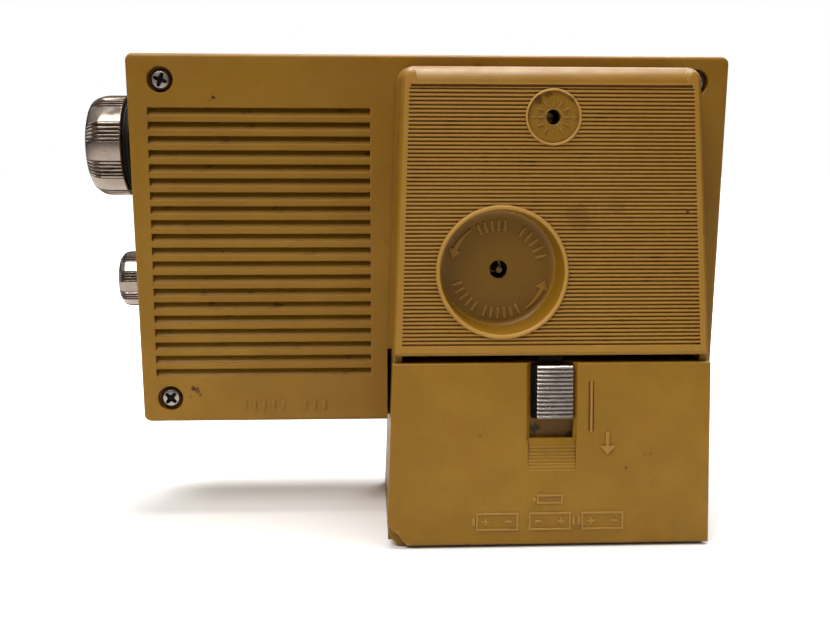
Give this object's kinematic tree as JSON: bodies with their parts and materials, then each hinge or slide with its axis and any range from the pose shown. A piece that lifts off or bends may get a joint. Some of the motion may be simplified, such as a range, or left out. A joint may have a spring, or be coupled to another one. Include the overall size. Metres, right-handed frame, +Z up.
{
  "type": "portable clock radio",
  "caption": "Portable clock radio: wide cabinet with louvred back, deep ribbed clock housing, battery plinth with latched door, side knobs, front clock and speaker grille.",
  "frame": {"origin": "centre of the battery plinth's flat underside, where the radio stands", "axes": "+Z up, the clock and speaker face -Y, the louvred back and battery door face +Y, the two knobs stick out towards +X"},
  "size_m": [0.2114, 0.077, 0.154],
  "materials": {
    "housing_plastic": "satin",
    "chrome_trim": "polished",
    "screw_steel": "satin",
    "black_plastic": "matte",
    "grille_metal": "satin",
    "clear_plastic": "gloss",
    "dial_print": "matte",
    "red_paint": "gloss",
    "brass_parts": "satin",
    "white_plastic": "satin",
    "plated_steel": "satin",
    "can_aluminium": "satin",
    "magnet_iron": "matte",
    "cone_paper": "matte",
    "board_laminate": "satin",
    "blue_sleeve": "satin",
    "ferrite": "matte",
    "cell_jacket": "satin"
  },
  "bodies": {
    "cabinet": {"front_cabinet": "housing_plastic", "rear_cover": "housing_plastic", "battery_housing": "housing_plastic", "clock_bezel": "chrome_trim", "cover_screw_upper_left": "screw_steel", "cover_screw_upper_right": "screw_steel", "cover_screw_lower_left": "screw_steel", "cover_screw_lower_right": "screw_steel", "clock_movement": "black_plastic", "speaker_grille": "grille_metal", "dial_window": "clear_plastic", "clock_lens": "clear_plastic", "dial_scale": "dial_print", "clock_dial": "dial_print", "cord_pulley_left": "brass_parts", "cord_pulley_right": "brass_parts", "antenna_coil": "brass_parts", "tuning_capacitor": "white_plastic", "rod_holder": "white_plastic", "dial_cord": "white_plastic", "volume_control": "plated_steel", "function_switch": "plated_steel", "speaker_basket": "plated_steel", "driver_transformer": "plated_steel", "output_transformer": "plated_steel", "cell_spring_1": "plated_steel", "cell_spring_2": "plated_steel", "cell_spring_3": "plated_steel", "cell_contact_1": "plated_steel", "cell_contact_2": "plated_steel", "cell_contact_3": "plated_steel", "if_can_1": "can_aluminium", "if_can_2": "can_aluminium", "if_can_3": "can_aluminium", "speaker_magnet": "magnet_iron", "speaker_cone": "cone_paper", "circuit_board": "board_laminate", "electrolytic_1": "blue_sleeve", "electrolytic_2": "blue_sleeve", "ferrite_rod": "ferrite", "battery_cell_1": "cell_jacket", "battery_cell_2": "cell_jacket", "battery_cell_3": "cell_jacket"},
    "tuning_knob": {"tuning_knob_cap": "chrome_trim", "tuning_knob_core": "black_plastic", "cord_drum": "white_plastic"},
    "dial_pointer": {"dial_pointer": "red_paint"},
    "volume_knob": {"volume_knob": "chrome_trim", "volume_shaft": "white_plastic"},
    "battery_door": {"battery_door": "housing_plastic"},
    "battery_latch": {"battery_latch": "chrome_trim"},
    "set_pinion": {"set_pinion": "brass_parts"},
    "set_shaft": {"set_shaft": "brass_parts"},
    "regulator": {"regulator_screw": "brass_parts"},
    "hour_hand": {"hour_hand": "black_plastic"},
    "minute_hand": {"minute_hand": "black_plastic"},
    "second_hand": {"second_hand": "red_paint"},
    "alarm_hand": {"alarm_hand": "red_paint"},
    "switch_button": {"switch_button": "black_plastic"}
  },
  "joints": [
    {"name": "tuning_knob_turn", "type": "hinge", "parent": "cabinet", "child": "tuning_knob", "pos_m": [0.14069, -0.0173, 0.125], "axis": [1, 0, 0], "range_deg": [-90, 90]},
    {"name": "dial_pointer_slide", "type": "slide", "parent": "cabinet", "child": "dial_pointer", "axis": [1, 0, 0], "range_m": [-0.0245, 0.0245]},
    {"name": "volume_knob_turn", "type": "hinge", "parent": "cabinet", "child": "volume_knob", "pos_m": [0.13869, -0.0173, 0.0793], "axis": [1, 0, 0], "range_deg": [0, 300]},
    {"name": "battery_door_hinge", "type": "hinge", "parent": "cabinet", "child": "battery_door", "pos_m": [0, 0.03472, 0.002], "axis": [-1, 0, 0], "range_deg": [0, 92]},
    {"name": "battery_latch_slide", "type": "slide", "parent": "battery_door", "child": "battery_latch", "axis": [0, 0.0867, -0.9962], "range_m": [0, 0.006]},
    {"name": "set_pinion_turn", "type": "hinge", "parent": "cabinet", "child": "set_pinion", "pos_m": [0.01528, 0.0067, 0.0864], "axis": [0, 1, 0], "continuous": true},
    {"name": "set_shaft_pull", "type": "slide", "parent": "set_pinion", "child": "set_shaft", "axis": [0, 1, 0], "range_m": [-0.0015, 0.0015]},
    {"name": "regulator_turn", "type": "hinge", "parent": "cabinet", "child": "regulator", "pos_m": [-0.00072, 0.0127, 0.1335], "axis": [0, 1, 0], "range_deg": [-60, 60]},
    {"name": "minute_hand_turn", "type": "hinge", "parent": "cabinet", "child": "minute_hand", "pos_m": [-0.00532, -0.0333, 0.095], "axis": [0, 1, 0], "continuous": true},
    {"name": "hour_hand_turn", "type": "hinge", "parent": "cabinet", "child": "hour_hand", "pos_m": [-0.00532, -0.0333, 0.095], "axis": [0, 1, 0], "continuous": true},
    {"name": "second_hand_turn", "type": "hinge", "parent": "cabinet", "child": "second_hand", "pos_m": [-0.00532, -0.0333, 0.095], "axis": [0, 1, 0], "continuous": true},
    {"name": "alarm_hand_turn", "type": "hinge", "parent": "cabinet", "child": "alarm_hand", "pos_m": [-0.00532, -0.0333, 0.095], "axis": [0, 1, 0], "continuous": true},
    {"name": "switch_button_slide", "type": "slide", "parent": "cabinet", "child": "switch_button", "axis": [1, 0, 0], "range_m": [-0.004, 0.004]}
  ],
  "couplings": [
    {"joint": "dial_pointer_slide", "follows": "tuning_knob_turn", "m_per_rad": 0.0155},
    {"joint": "hour_hand_turn", "follows": "minute_hand_turn", "ratio": 0.083333}
  ]
}
